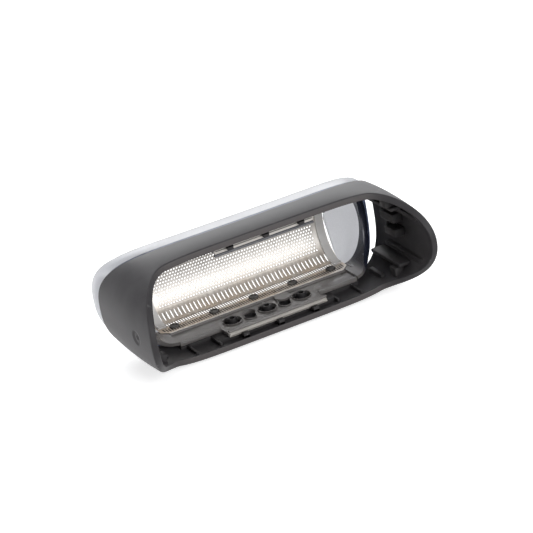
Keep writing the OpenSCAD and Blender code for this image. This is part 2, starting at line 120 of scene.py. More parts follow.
def signedVolume(points, faces):
    # the sum of the tetrahedra from the origin over each face's fan: a . (b x c) / 6
    total = 0
    for size in {len(face) for face in faces}:
        group = points[np.array([face for face in faces if len(face) == size])]
        for k in range(1, size - 1):
            cross = np.cross(group[:, k], group[:, k + 1])
            total += (group[:, 0] * cross).sum() / 6
    return total


def makePiece(name, parts, material, replaced=(), smoothAngle=35, attributes=None):
    # each part is (points, faces) in millimetres and is closed; its faces are turned to point
    # outwards, and all parts become one mesh that rides on the head
    points, faces, start = [], [], 0
    for partPoints, partFaces in parts:
        partFaces = partFaces.tolist() if isinstance(partFaces, np.ndarray) else partFaces
        way = -1 if signedVolume(partPoints, partFaces) < 0 else 1
        faces += [[v + start for v in face[::way]] for face in partFaces]
        points.append(partPoints)
        start += len(partPoints)
    mesh = bpy.data.meshes.new(name)
    mesh.from_pydata(place(np.concatenate(points)).tolist(), [], faces)
    for label, values in (attributes or {}).items():
        layer = mesh.attributes.new(label, "FLOAT", "POINT")
        layer.data.foreach_set("value", np.asarray(values, np.float32))
    mesh.materials.append(material)
    mesh.shade_smooth()
    mesh.set_sharp_from_angle(angle=math.radians(smoothAngle))
    piece = bpy.data.objects.new(name, mesh)
    bpy.context.scene.collection.objects.link(piece)
    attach(piece, "root")
    if replaced:
        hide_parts(*replaced)
    return piece


def roundedBlock(x, depth, z, radius=0.12, rings=3):
    # a box with round edges: each corner grows an eighth of a sphere, so a row of points is
    # corner + radius (cos t cos a, cos t sin a, sin t)
    centre = np.array([sum(x), sum(depth), sum(z)]) / 2
    half = np.array([x[1] - x[0], depth[1] - depth[0], z[1] - z[0]]) / 2
    radius = min(radius, *(half * 0.98))
    quarter = np.linspace(0, math.pi / 2, rings)
    around = np.concatenate([quarter + k * math.pi / 2 for k in range(4)])
    corner = np.repeat(np.arange(4), rings)
    sx = np.where((corner == 0) | (corner == 3), 1, -1)
    sy = np.where(corner < 2, 1, -1)
    rows = []
    for tilt in np.concatenate([quarter - math.pi / 2, quarter]):
        end = -1 if len(rows) < rings else 1
        rows.append(np.stack([
            sx * (half[0] - radius) + radius * np.cos(tilt) * np.cos(around),
            sy * (half[1] - radius) + radius * np.cos(tilt) * np.sin(around),
            np.full(len(around), end * (half[2] - radius) + radius * np.sin(tilt))], -1))
    return closedRows(np.array(rows) + centre)


def closedRows(rows):
    # rows of points, each a full turn, joined by quads and closed by a face at either end
    count, columns = rows.shape[:2]
    faces = gridFaces(count, columns, False, True).tolist()
    last = (count - 1) * columns
    faces += [list(range(columns))[::-1], list(range(last, last + columns))]
    return rows.reshape(-1, 3), faces


def turnedPiece(x, depth, profile, segments=40):
    # a turned piece about z: each (radius, z) of the profile goes round as r (cos a, sin a)
    turn = np.linspace(0, 2 * math.pi, segments, endpoint=False)
    rows = [np.stack([x + r * np.cos(turn), depth + r * np.sin(turn), 0 * turn + z], -1)
            for r, z in profile]
    return closedRows(np.array(rows))


def insideLoops(spots, loops):
    # the even-odd rule: a spot is inside where a ray crosses the loops an odd number of times
    crossings = np.zeros(len(spots), int)
    for loop in loops:
        a, b = loop[None], np.roll(loop, -1, 0)[None]
        u, v = spots[:, None, 0], spots[:, None, 1]
        spans = (a[..., 1] > v) != (b[..., 1] > v)
        rise = np.where(b[..., 1] == a[..., 1], 1e-9, b[..., 1] - a[..., 1])
        meets = (b[..., 0] - a[..., 0]) * (v - a[..., 1]) / rise + a[..., 0]
        crossings += (spans & (u < meets)).sum(1)
    return crossings % 2 == 1


def roundedLoop(corners, radii, steps=5):
    # a polygon with round corners: the arc's middle lies on the corner's bisector, at r / sin(half)
    corners = np.asarray(corners, float)
    points = []
    for k, (corner, radius) in enumerate(zip(corners, radii)):
        before = corners[k - 1] - corner
        after = corners[(k + 1) % len(corners)] - corner
        before, after = before / np.hypot(*before), after / np.hypot(*after)
        half = math.acos(max(-1, min(1, before @ after))) / 2
        start = corner + before * radius / math.tan(half)
        end = corner + after * radius / math.tan(half)
        middle = corner + (before + after) / np.hypot(*(before + after)) * radius / math.sin(half)
        first = math.atan2(*(start - middle)[::-1])
        sweep = (math.atan2(*(end - middle)[::-1]) - first + math.pi) % (2 * math.pi) - math.pi
        turn = first + sweep * np.linspace(0, 1, steps)
        points.append(middle + radius * np.stack([np.cos(turn), np.sin(turn)], -1))
    return np.concatenate(points)


def stadium(x, depth, reach, radius, tilt=0, steps=14):
    # two half circles of that radius, each a reach from the middle, turned by tilt
    turn = np.linspace(0, math.pi, steps, endpoint=reach > 0)
    top = np.stack([radius * np.cos(turn), radius * np.sin(turn) + reach], -1)
    loop = np.concatenate([top, -top])
    c, n = math.cos(tilt), math.sin(tilt)
    return loop @ np.array([[c, n], [-n, c]]) + (x, depth)


def signedArea(loop):
    # twice a loop's area, positive where it runs anticlockwise
    after = np.roll(loop, -1, 0)
    return (loop[:, 0] * after[:, 1] - loop[:, 1] * after[:, 0]).sum()


def loopNormals(loop):
    # at each point a quarter turn from the way between its two neighbours
    way = np.roll(loop, -1, 0) - np.roll(loop, 1, 0)
    way /= np.maximum(1e-9, np.hypot(way[:, 0], way[:, 1]))[:, None]
    return np.stack([way[:, 1], -way[:, 0]], -1)


def filledCap(cap, sizes):
    # triangles between loops of those sizes: Delaunay's, less the ones outside or in a hole, and
    # all turned the same way
    starts = [0] + np.cumsum(sizes).tolist()
    edges = [(start + k, start + (k + 1) % size) for start, size in zip(starts, sizes)
             for k in range(size)]
    found = delaunay_2d_cdt([tuple(v) for v in cap], edges, [], 0, 1e-7, True)
    ids = [source[0] for source in found[3]]
    triangles = np.array([[ids[v] for v in face] for face in found[2]])
    triangles = triangles[insideLoops(cap[triangles].mean(1), np.split(cap, starts[1:-1]))]
    ends = cap[triangles]
    turn = np.cross(ends[:, 1] - ends[:, 0], ends[:, 2] - ends[:, 0])
    return np.where(turn[:, None] > 0, triangles, triangles[:, ::-1])


def plateSolid(outer, holes, low, high, bevel, steps=3):
    # a plate in x and depth between two heights, with holes and with round edges. Each loop is
    # offset into the plate along its normal by bevel (1 - cos q) while the height drops by sines
    loops = [outer if signedArea(outer) > 0 else outer[::-1]]
    loops += [hole if signedArea(hole) < 0 else hole[::-1] for hole in holes]
    flat, out = np.concatenate(loops), np.concatenate([loopNormals(loop) for loop in loops])
    q = np.linspace(0, math.pi / 2, steps)
    levels = [(bevel * (1 - math.sin(t)), high - bevel * (1 - math.cos(t))) for t in q]
    levels += [(bevel * (1 - math.cos(t)), low + bevel * (1 - math.sin(t))) for t in q]
    points = np.concatenate([np.column_stack([flat - out * inset, np.full(len(flat), z)])
                             for inset, z in levels])
    sides, start, count = [], 0, len(flat)
    for loop in loops:
        band = gridFaces(len(levels), len(loop), False, True)
        sides.append((band // len(loop)) * count + band % len(loop) + start)
        start += len(loop)
    sides = np.concatenate(sides)[:, ::-1]
    top = filledCap(flat - out * bevel, [len(loop) for loop in loops])
    bottom = top[:, ::-1] + (len(levels) - 1) * count
    return points, sides.tolist() + top.tolist() + bottom.tolist()


# Camera, as the photograph was taken
cameraSetup = {
    "azimuth": 23.26, "elevation": 23.32, "roll": 10.31, "lens": 143.2, "sensor": 36,
    "distance": 390.6, "acrossOffset": -1.606, "upOffset": 2.313, "clip": (0.01, 10),
}


def makeCamera(setup):
    # forward, right and up from the three angles; the place is those offsets from the rim's middle
    a, e, r = (math.radians(setup[k]) for k in ("azimuth", "elevation", "roll"))
    forward = np.array([math.cos(e) * math.sin(a), math.cos(e) * math.cos(a), -math.sin(e)])
    level = np.array([math.cos(a), -math.sin(a), 0])
    upright = np.array([math.sin(e) * math.sin(a), math.sin(e) * math.cos(a), math.cos(e)])
    right = math.cos(r) * level - math.sin(r) * upright
    up = math.sin(r) * level + math.cos(r) * upright
    spot = setup["acrossOffset"] * right + setup["upOffset"] * up - setup["distance"] * forward
    data = bpy.data.cameras.new("photoCamera")
    data.lens, data.sensor_width = setup["lens"], setup["sensor"]
    data.clip_start, data.clip_end = setup["clip"]
    camera = bpy.data.objects.new("photoCamera", data)
    bpy.context.scene.collection.objects.link(camera)
    turn = Matrix([right, up, -forward]).transposed().to_4x4()
    camera.matrix_world = Matrix.Translation(Vector(place(spot)[0])) @ turn
    bpy.context.scene.camera = camera


makeCamera(cameraSetup)
print("camera set")


# Shader nodes: short helpers, then the groups that several materials share
def addNode(tree, kind, links=None, **values):
    # one node, its fields set by name and its inputs linked by {input: output socket}
    node = tree.nodes.new(kind)
    for key, value in values.items():
        if key in node.inputs:
            node.inputs[key].default_value = value
        else:
            setattr(node, key, value)
    for key, source in (links or {}).items():
        tree.links.new(source, node.inputs[key])
    return node


def newMaterial(name):
    # a material with its tree and its Principled shader
    material = bpy.data.materials.new(name)
    material.use_nodes = True
    tree = material.node_tree
    return material, tree, tree.nodes["Principled BSDF"]


def setShader(tree, shader, inputs):
    # each input takes a number or colour of its own, or an output socket
    for key, value in inputs.items():
        if isinstance(value, bpy.types.NodeSocket):
            tree.links.new(value, shader.inputs[key])
        else:
            shader.inputs[key].default_value = value


def toneRamp(tree, factor, spots, colours):
    # a colour ramp, its first colour up to the first spot and its second past the other
    ramp = addNode(tree, "ShaderNodeValToRGB", {"Fac": factor})
    for element, spot, colour in zip(ramp.color_ramp.elements, spots, colours):
        element.position = spot
        element.color = (*colour, 1)
    return ramp.outputs["Color"]


def ranged(tree, source, made=(0, 1), read=(0, 1)):
    # the two ends of read carried to the two ends of made, and held outside them
    node = addNode(tree, "ShaderNodeMapRange", {"Value": source})
    node.inputs["From Min"].default_value, node.inputs["From Max"].default_value = read
    node.inputs["To Min"].default_value, node.inputs["To Max"].default_value = made
    return node.outputs["Result"]


def worked(tree, operation, first, second=None):
    # a Math node on an output socket and on a number or another output socket
    node = addNode(tree, "ShaderNodeMath", {0: first}, operation=operation)
    if isinstance(second, bpy.types.NodeSocket):
        tree.links.new(second, node.inputs[1])
    elif second is not None:
        node.inputs[1].default_value = second
    return node.outputs[0]


def blended(tree, factor, first, second):
    # first where the factor is 0, second where it is 1; each is a colour or an output socket,
    # and a second that is a plain number makes it a mix of numbers
    kind = "FLOAT" if isinstance(second, float) else "RGBA"
    node = addNode(tree, "ShaderNodeMix", {"Factor": factor}, data_type=kind)
    for key, value in (("A", first), ("B", second)):
        if isinstance(value, bpy.types.NodeSocket):
            tree.links.new(value, node.inputs[key])
        else:
            node.inputs[key].default_value = value if kind == "FLOAT" else (*value, 1)
    return node.outputs["Result"]


def bumped(tree, height, strength, distance):
    # a height turned to a normal
    node = addNode(tree, "ShaderNodeBump", {"Height": height}, Strength=strength, Distance=distance)
    return node.outputs["Normal"]


def readMark(tree, label):
    # one of the piece's own attributes
    return addNode(tree, "ShaderNodeAttribute", attribute_name=label).outputs["Fac"]


def makeGroup(name, inputs, outputs):
    # an empty group with its named sockets, and its two end nodes
    group = bpy.data.node_groups.new(name, "ShaderNodeTree")
    for label, value in inputs:
        socket = group.interface.new_socket(name=label, in_out="INPUT", socket_type="NodeSocketFloat")
        socket.default_value = value
    for label in outputs:
        group.interface.new_socket(name=label, in_out="OUTPUT", socket_type="NodeSocketFloat")
    return group, group.nodes.new("NodeGroupInput"), group.nodes.new("NodeGroupOutput")


def makeGrainGroup():
    # moulded grain: a fine noise put out as a height and a broad one as a tone
    group, start, end = makeGroup("mouldedGrain", [("Scale", 3000.0), ("Cloud", 120.0)],
                                  ["Height", "Tone"])
    spot = addNode(group, "ShaderNodeTexCoord").outputs["Object"]
    fine = addNode(group, "ShaderNodeTexNoise", {"Vector": spot, "Scale": start.outputs["Scale"]},
                   Detail=3.0, Roughness=0.6)
    cloud = addNode(group, "ShaderNodeTexNoise", {"Vector": spot, "Scale": start.outputs["Cloud"]},
                    Detail=2.0, Roughness=0.5)
    group.links.new(fine.outputs["Fac"], end.inputs["Height"])
    group.links.new(cloud.outputs["Fac"], end.inputs["Tone"])
    return group


def makeWearGroup():
    # edge wear: how convex the surface is there, from Geometry's Pointiness, as a mask
    group, start, end = makeGroup("edgeWear", [("Low", 0.52), ("High", 0.62)], ["Mask"])
    geometry = addNode(group, "ShaderNodeNewGeometry")
    mask = addNode(group, "ShaderNodeMapRange", {"Value": geometry.outputs["Pointiness"],
                   "From Min": start.outputs["Low"], "From Max": start.outputs["High"]})
    group.links.new(mask.outputs["Result"], end.inputs["Mask"])
    return group


grainGroup = makeGrainGroup()
wearGroup = makeWearGroup()


def putGroup(tree, group, **values):
    # a shared group placed in a material, with that material's own values
    node = tree.nodes.new("ShaderNodeGroup")
    node.node_tree = group
    for key, value in values.items():
        node.inputs[key].default_value = value
    return node.outputs


# land is a painted highlight: the rim's land, which faces the front lamp, is painted paler
charcoal = {
    "dark": (0.031, 0.029, 0.031), "light": (0.043, 0.041, 0.043), "ramp": (0.35, 0.65),
    "edge": (0.075, 0.072, 0.075), "worn": (0.53, 0.66), "land": (0.088, 0.081, 0.081),
    "roughness": (0.40, 0.50), "grain": 4200.0, "cloud": 180.0, "bump": (0.5, 0.00001),
    "specular": 0.15,
}
# the same charcoal with painted shade: much darker tones for the parts deep inside the frame
shadedCharcoal = dict(charcoal, dark=(0.012, 0.011, 0.012), light=(0.019, 0.018, 0.019),
                     edge=(0.035, 0.033, 0.034))


def makeCharcoal(name, setup):
    # matt moulded plastic: two tones by a soft cloud, paler at worn edges, a painted highlight on the
    # rim's land, a fine grain bump
    material, tree, shader = newMaterial(name)
    grain = putGroup(tree, grainGroup, Scale=setup["grain"], Cloud=setup["cloud"])
    wear = putGroup(tree, wearGroup, Low=setup["worn"][0], High=setup["worn"][1])
    tone = toneRamp(tree, grain["Tone"], setup["ramp"], (setup["dark"], setup["light"]))
    edge = blended(tree, wear["Mask"], tone, setup["edge"])
    setShader(tree, shader, {
        "Base Color": blended(tree, readMark(tree, "land"), edge, setup["land"]),
        "Roughness": ranged(tree, grain["Tone"], setup["roughness"]),
        "Normal": bumped(tree, grain["Height"], *setup["bump"]),
        "Specular IOR Level": setup["specular"],
    })
    return material


# edge is painted: a dark navy shade and reflection on the ring's lower wall, up to the rise in seam
silver = {
    "dark": (0.58, 0.585, 0.61), "light": (0.70, 0.705, 0.725), "ramp": (0.3, 0.7),
    "edge": (0.03, 0.04, 0.09), "seam": (0.34, 0.44), "grain": 9000.0, "cloud": 260.0,
    "roughness": (0.30, 0.42), "coat": 0.1, "coatRoughness": 0.08, "translucent": 0.62,
    "bending": 1.22,
}


def makeSilver(name, setup):
    # silver tinted plastic that lets some light through: fine flake tones under a clear coat, and a
    # painted dark navy band of shade and reflection along its lower edge, by the piece's own rise
    # attribute
    material, tree, shader = newMaterial(name)
    grain = putGroup(tree, grainGroup, Scale=setup["grain"], Cloud=setup["cloud"])
    tone = toneRamp(tree, grain["Height"], setup["ramp"], (setup["dark"], setup["light"]))
    # painted shade and dark reflection: the lower part of the ring's wall turns dark navy
    seam = ranged(tree, readMark(tree, "rise"), read=setup["seam"])
    setShader(tree, shader, {
        "Base Color": blended(tree, seam, setup["edge"], tone),
        "Roughness": ranged(tree, grain["Tone"], setup["roughness"]),
        "Transmission Weight": setup["translucent"], "IOR": setup["bending"],
        "Coat Weight": setup["coat"], "Coat Roughness": setup["coatRoughness"],
    })
    return material


foilSteel = {
    "dark": (0.52, 0.495, 0.465), "light": (0.66, 0.63, 0.595), "ramp": (0.3, 0.62),
    "tan": (0.65, 0.51, 0.375), "tarnish": 0.8, "patches": (0.35, 1.0), "patchEdge": (0.35, 0.65),
    "burrAndShade": (0.14, 0.125, 0.11), "burrAndShadeShare": (0.5, 0.85), "streak": (1600, 200, 200),
    "grain": 5200.0, "cloud": 260.0, "roughness": (0.34, 0.48), "bump": (0.2, 0.00001),
    "metallic": 0.6,
}


def makeFoilSteel(name, setup):
    # bright nickel: drawn streaks along the arch, a tan tarnish in soft clouds where the piece's
    # slotted attribute is high, and darker rims round the holes, partly burrs and partly painted shade
    # in the holes
    material, tree, shader = newMaterial(name)
    spot = addNode(tree, "ShaderNodeTexCoord").outputs["Object"]
    stretch = addNode(tree, "ShaderNodeMapping", {"Vector": spot}, Scale=setup["streak"])
    streak = addNode(tree, "ShaderNodeTexNoise", {"Vector": stretch.outputs["Vector"]},
                     Scale=1.0, Detail=3.0).outputs["Fac"]
    grain = putGroup(tree, grainGroup, Scale=setup["grain"], Cloud=setup["cloud"])
    slotted = readMark(tree, "slotted")
    tone = toneRamp(tree, streak, setup["ramp"], (setup["dark"], setup["light"]))
    patches = ranged(tree, grain["Tone"], setup["patches"], setup["patchEdge"])
    amount = worked(tree, "MULTIPLY", worked(tree, "MULTIPLY", patches, slotted), setup["tarnish"])
    # darker hole rims: burrs, and painted shade in the holes
    burrAndShade = worked(tree, "MULTIPLY", readMark(tree, "burrAndShade"), ranged(tree, slotted, setup["burrAndShadeShare"]))
    tarnished = blended(tree, amount, tone, setup["tan"])
    setShader(tree, shader, {
        "Base Color": blended(tree, burrAndShade, tarnished, setup["burrAndShade"]),
        "Roughness": ranged(tree, streak, setup["roughness"]),
        "Normal": bumped(tree, streak, *setup["bump"]),
        "Metallic": setup["metallic"],
    })
    return material


rivetSteel = {
    "dark": (0.045, 0.043, 0.04), "light": (0.12, 0.115, 0.11), "ramp": (0.3, 0.7),
    "roughness": (0.3, 0.5), "grain": 3800.0, "cloud": 900.0, "metallic": 0.85,
}


def makeRivetSteel(name, setup):
    # dull dark steel with soft spots
    material, tree, shader = newMaterial(name)
    grain = putGroup(tree, grainGroup, Scale=setup["grain"], Cloud=setup["cloud"])
    setShader(tree, shader, {
        "Base Color": toneRamp(tree, grain["Tone"], setup["ramp"], (setup["dark"], setup["light"])),
        "Roughness": ranged(tree, grain["Height"], setup["roughness"]),
        "Metallic": setup["metallic"],
    })
    return material


clearPlastic = {
    "tint": (0.18, 0.168, 0.162), "haze": (0.20, 0.188, 0.182), "ramp": (0.35, 0.7),
    "grain": 2400.0, "cloud": 300.0, "roughness": (0.22, 0.30), "density": (0.7, 0.95),
    "facing": 0.35, "specular": 0.6, "bending": 1.5,
    "rightEndShade": (0.02, 0.023, 0.042), "rightEndShadeSpan": (0.0205, 0.0225), "rightEndShadeAlpha": 0.95,
    "bow": (0.86, 0.85, 0.84), "bowSpan": (0.0071, 0.0078), "bowAlpha": 0.6,
    "front": (0.52, 0.49, 0.455), "frontEnd": -0.0029, "frontOuter": 0.0080,
    "under": (0.075, 0.075, 0.085),
}


def makeClear(name, setup):
    # clear grey plastic: see-through where it faces the eye and denser at grazing angles, with a
    # faint haze. Painted light on it: a dark blue painted shade along the right end, a pale painted
    # reflection on the bow at the back of the ends, a warm painted highlight on the tab's front edge
    # and a dark painted shade along the upper tab
    material, tree, shader = newMaterial(name)
    grain = putGroup(tree, grainGroup, Scale=setup["grain"], Cloud=setup["cloud"])
    spot = addNode(tree, "ShaderNodeTexCoord").outputs["Object"]
    parts = addNode(tree, "ShaderNodeSeparateXYZ", {"Vector": spot}).outputs
    height = worked(tree, "SUBTRACT", parts["Z"], heightShift * head["millimetre"])
    # painted shade: the right end turns dark blue and denser
    rightEndShade = ranged(tree, parts["X"], read=setup["rightEndShadeSpan"])
    # painted reflection: the bow at the back of the ends turns pale and thinner
    bow = ranged(tree, parts["Y"], read=setup["bowSpan"])
    front = worked(tree, "LESS_THAN", parts["Y"], setup["frontEnd"])
    outer = worked(tree, "GREATER_THAN", worked(tree, "ABSOLUTE", height), setup["frontOuter"])
    # painted highlight: a warm pale tone where the tab's front edge catches the light
    lit = worked(tree, "MULTIPLY", front, outer)
    # painted shade: the upper tab, seen from below, turns darker and opaque
    upper = worked(tree, "MULTIPLY", front, worked(tree, "GREATER_THAN", height, 0))
    tone = toneRamp(tree, grain["Tone"], setup["ramp"], (setup["tint"], setup["haze"]))
    for share, colour in ((rightEndShade, "rightEndShade"), (upper, "under"), (lit, "front"), (bow, "bow")):
        tone = blended(tree, share, tone, setup[colour])
    facing = addNode(tree, "ShaderNodeLayerWeight", Blend=setup["facing"]).outputs["Facing"]
    dense = blended(tree, rightEndShade, ranged(tree, facing, setup["density"]), setup["rightEndShadeAlpha"])
    full = worked(tree, "MAXIMUM", dense, upper)
    setShader(tree, shader, {
        "Base Color": tone, "Roughness": ranged(tree, grain["Tone"], setup["roughness"]),
        "Alpha": blended(tree, bow, full, setup["bowAlpha"]),
        "Specular IOR Level": setup["specular"], "IOR": setup["bending"],
    })
    return material


charcoalPaintedShade = makeCharcoal("charcoalPaintedShade", shadedCharcoal)
charcoalPlastic = makeCharcoal("charcoalPlastic", charcoal)
silverPlastic = makeSilver("silverPlastic", silver)
nickelFoil = makeFoilSteel("nickelFoil", foilSteel)
darkRivet = makeRivetSteel("darkRivet", rivetSteel)
clearCarrier = makeClear("clearCarrier", clearPlastic)
print("materials made")


# Outer frame: a loft from the rim to the shoulder with round edges and a thumb dimple at each end
shell = {
    "columns": 640, "outerRows": 84, "innerRows": 14, "rimRadius": 0.28, "innerRadius": 0.14,
    "shoulderRadius": 0.22, "filletRows": 4,
    "dimpleDepth": -3.2, "dimpleRadius": 1.45, "dimpleSink": 0.22, "dimplePin": 0.55,
    "dimpleEnd": 0.9, "dimpleEdge": 0.82, "pinEdge": 0.6, "pinRise": 0.9,
    "endTurn": (0.75, 0.98), "landHighlightFade": (19, 26), "smoothAngle": 50,
}


def wallPoint(turn, ahead, inset):
    # t = ahead / height; the wall is mix(rim, shoulder, t) + outward * (belly 4t(1-t) - inset)
    rimX, rimZ = outline(turn, *rimShape)
    topX, topZ = outline(turn, *shoulderShape)
    near, far = rimDepth(rimX), shoulderAt(topX)
    t = ahead / (far - near)
    rimOut = outward(turn, *rimShape)
    topOut = outward(turn, *shoulderShape)
    outX, outZ = mix(rimOut[0], topOut[0], t), mix(rimOut[1], topOut[1], t)
    size = np.hypot(outX, outZ)
    push = head["belly"] * 4 * t * (1 - t) - inset
    return np.stack([mix(rimX, topX, t) + outX / size * push, mix(near, far, t),
                     mix(rimZ, topZ, t) + outZ / size * push], -1)


def wallHeight(turn):
    # the shoulder's depth less the rim's depth at that turn
    rimX, _ = outline(turn, *rimShape)
    topX, _ = outline(turn, *shoulderShape)
    return shoulderAt(topX) - rimDepth(rimX)


def makeShell(setup):
    # one closed band of rows: rim land, outer wall, shoulder, inner wall; each row a full turn
    turn = np.linspace(0, 2 * math.pi, setup["columns"], endpoint=False)
    height = wallHeight(turn)
    endShare = smooth(np.abs(np.cos(turn)), *setup["endTurn"])
    thin = mix(head["wall"], head["endWall"], endShare)
    quarter = np.linspace(0, math.pi / 2, setup["filletRows"] + 1)
    r, inner, top = setup["rimRadius"], setup["innerRadius"], setup["shoulderRadius"]
    rows = [(r - r * np.cos(q), r - r * np.sin(q)) for q in quarter]
    points = [wallPoint(turn, ahead, inset) for ahead, inset in rows]
    steps = np.linspace(0, 1, setup["outerRows"] + 2)[1:-1]
    for share in steps:
        ahead = mix(r, height - top, share)
        base = wallPoint(turn, ahead, 0)
        away = np.hypot(base[:, 1] - setup["dimpleDepth"], base[:, 2])
        near = np.abs(base[:, 0]) > head["rimHalfLength"] * setup["dimpleEnd"]
        bowl = 1 - smooth(away, setup["dimpleRadius"] * setup["dimpleEdge"], setup["dimpleRadius"])
        pin = 1 - smooth(away, setup["dimplePin"] * setup["pinEdge"], setup["dimplePin"])
        inset = setup["dimpleSink"] * (bowl - setup["pinRise"] * pin) * near
        points.append(wallPoint(turn, ahead, inset))
    for q in quarter:
        points.append(wallPoint(turn, height - top + top * np.sin(q), top - top * np.cos(q)))
    points.append(wallPoint(turn, height, (top + thin - inner) / 2))
    for q in quarter:
        points.append(wallPoint(turn, height - inner + inner * np.cos(q),
                                thin - inner + inner * np.sin(q)))
    for share in np.linspace(1, 0, setup["innerRows"] + 2)[1:-1]:
        ahead = mix(inner, height - inner, share)
        points.append(wallPoint(turn, ahead, mix(head["wall"], thin, share)))
    for q in quarter:
        points.append(wallPoint(turn, inner - inner * np.sin(q),
                                head["wall"] - inner + inner * np.cos(q)))
    points.append(wallPoint(turn, 0 * turn, (head["wall"] - inner + r) / 2))
    faces = gridFaces(len(points), setup["columns"], True, True)
    # the rim's land rows get a painted highlight, which fades out towards the lobes
    land = np.zeros((len(points), setup["columns"]))
    land[:2] = land[-3:] = 1 - smooth(np.abs(points[0][:, 0]), *setup["landHighlightFade"])
    return np.concatenate(points), faces, land.ravel()


shellPoints, shellFaces, shellLandHighlight = makeShell(shell)
makePiece("frameShell", [(shellPoints, shellFaces)], charcoalPlastic,
          ["outer_frame"], shell["smoothAngle"], {"land": shellLandHighlight})
print("frame shell made")


# What is moulded inside the frame: ledges, nibs, ribs, snap pegs, latch blocks and corner posts
inside = {
    "seatFace": 8.9, "seatRoot": 10.1, "seatNear": 2.2, "seatFar": 6.1, "pocketHalf": 12.5,
    "plateBack": 9.3, "plateFar": 9.4, "plateNear": 5.7, "railNear": 4.9, "jointX": 19,
    "nibWidth": 1.2, "nibNear": 0.3, "pitch": 7.4, "ribX": (-17.5, -12.5, 12.5, 17.5),
    "ribWidth": 0.5, "ribNear": 0.9, "pegRadius": 1.0, "pegTop": 7.4, "holeDepth": 6.2,
    "overlap": 0.2, "edge": 0.1, "lugFar": 1.25, "lugFace": 8.45,
    "pegProfile": ((1, 0.15), (0.94, 0.04), (0.85, 0), (0.55, 0), (0.48, 0.04), (0.44, 0.4)),
}
endBlocks = {
    "face": 28.35, "root": 28.75, "ribHeight": 4.4, "ribWidth": 0.9, "ribNear": -8.2, "ribFar": 7.8,
    "latchReach": 1.8, "latchNear": 1.4, "latchFar": 6.4, "latchTop": 3.4, "latchGapTop": 1.6,
    "boxTop": 0.2, "boxLow": -1.3, "post": 1, "postX": 23.2, "postNear": 2.2, "postFar": 7.2,
    "postInner": 8.0, "sideRoot": 9.1, "bracketX": (24.2, 26.2), "bracketHeight": (6.2, 8.2),
    "bracketDepth": (-1.0, 1.2), "shelfX": (25.0, 28.6), "shelfDepth": (-1.5, 9.4),
    "shelfHeight": (5.4, 6.1), "edge": 0.15, "rimMargin": 0.35, "wallMargin": 0.6,
}


def mirrored(parts, across):
    # the same parts on the other side: one coordinate changes its sign
    flip = np.ones(3)
    flip[across] = -1
    return [(points * flip, faces) for points, faces in parts]


def trimmed(parts, setup):
    # kept inside the frame: |x| <= L (1 - (|z| / W)^s1)^(1 / s0), less a margin, and the near
    # faces follow the rim
    kept = []
    for points, faces in parts:
        x, depth, z = np.abs(points[:, 0]), points[:, 1], np.abs(points[:, 2])
        limit = np.full(len(x), 1e9)
        for length, width, powers in (rimShape, shoulderShape):
            rest = np.maximum(0, 1 - np.minimum(1, z / width) ** powers[1])
            limit = np.minimum(limit, length * rest ** (1 / powers[0]))
        x = np.minimum(x, limit - setup["wallMargin"])
        depth = np.maximum(depth, rimDepth(x) + setup["rimMargin"])
        kept.append((np.stack([x * np.sign(points[:, 0]), depth, points[:, 2]], -1), faces))
    return kept


def makeSeats(setup):
    # blocks on the lower long side, from the named depths, and a hollow snap peg for each hole
    deep = (-setup["seatRoot"], -setup["seatFace"])
    pocket = (-setup["pocketHalf"], setup["pocketHalf"])
    parts = [
        roundedBlock(pocket, (setup["seatNear"], setup["seatFar"]), deep, setup["edge"]),
        roundedBlock((-setup["jointX"], setup["jointX"]), (setup["railNear"], setup["seatFar"]),
                     deep, setup["edge"]),
        roundedBlock(pocket, (setup["plateNear"], setup["plateFar"]),
                     (-setup["plateBack"], -setup["seatFace"]), setup["edge"]),
    ]
    for k in (-1, 0, 1):
        middle, half = k * setup["pitch"], setup["nibWidth"] / 2
        parts.append(roundedBlock((middle - half, middle + half),
                                  (setup["nibNear"], setup["seatNear"] + setup["overlap"]),
                                  deep, setup["edge"]))
        parts.append(roundedBlock((middle - half, middle + half),
                                  (setup["nibNear"], setup["lugFar"]),
                                  (deep[0], -setup["lugFace"]), setup["edge"]))
        peg = [(setup["pegRadius"], -setup["seatFace"] - setup["overlap"])]
        peg += [(share * setup["pegRadius"], -setup["pegTop"] - drop)
                for share, drop in setup["pegProfile"]]
        parts.append(turnedPiece(middle, setup["holeDepth"], peg))
    for x in setup["ribX"]:
        half = setup["ribWidth"] / 2
        parts.append(roundedBlock((x - half, x + half),
                                  (setup["ribNear"], setup["railNear"] + setup["overlap"]),
                                  deep, setup["edge"]))
    return parts + mirrored(parts, 2)


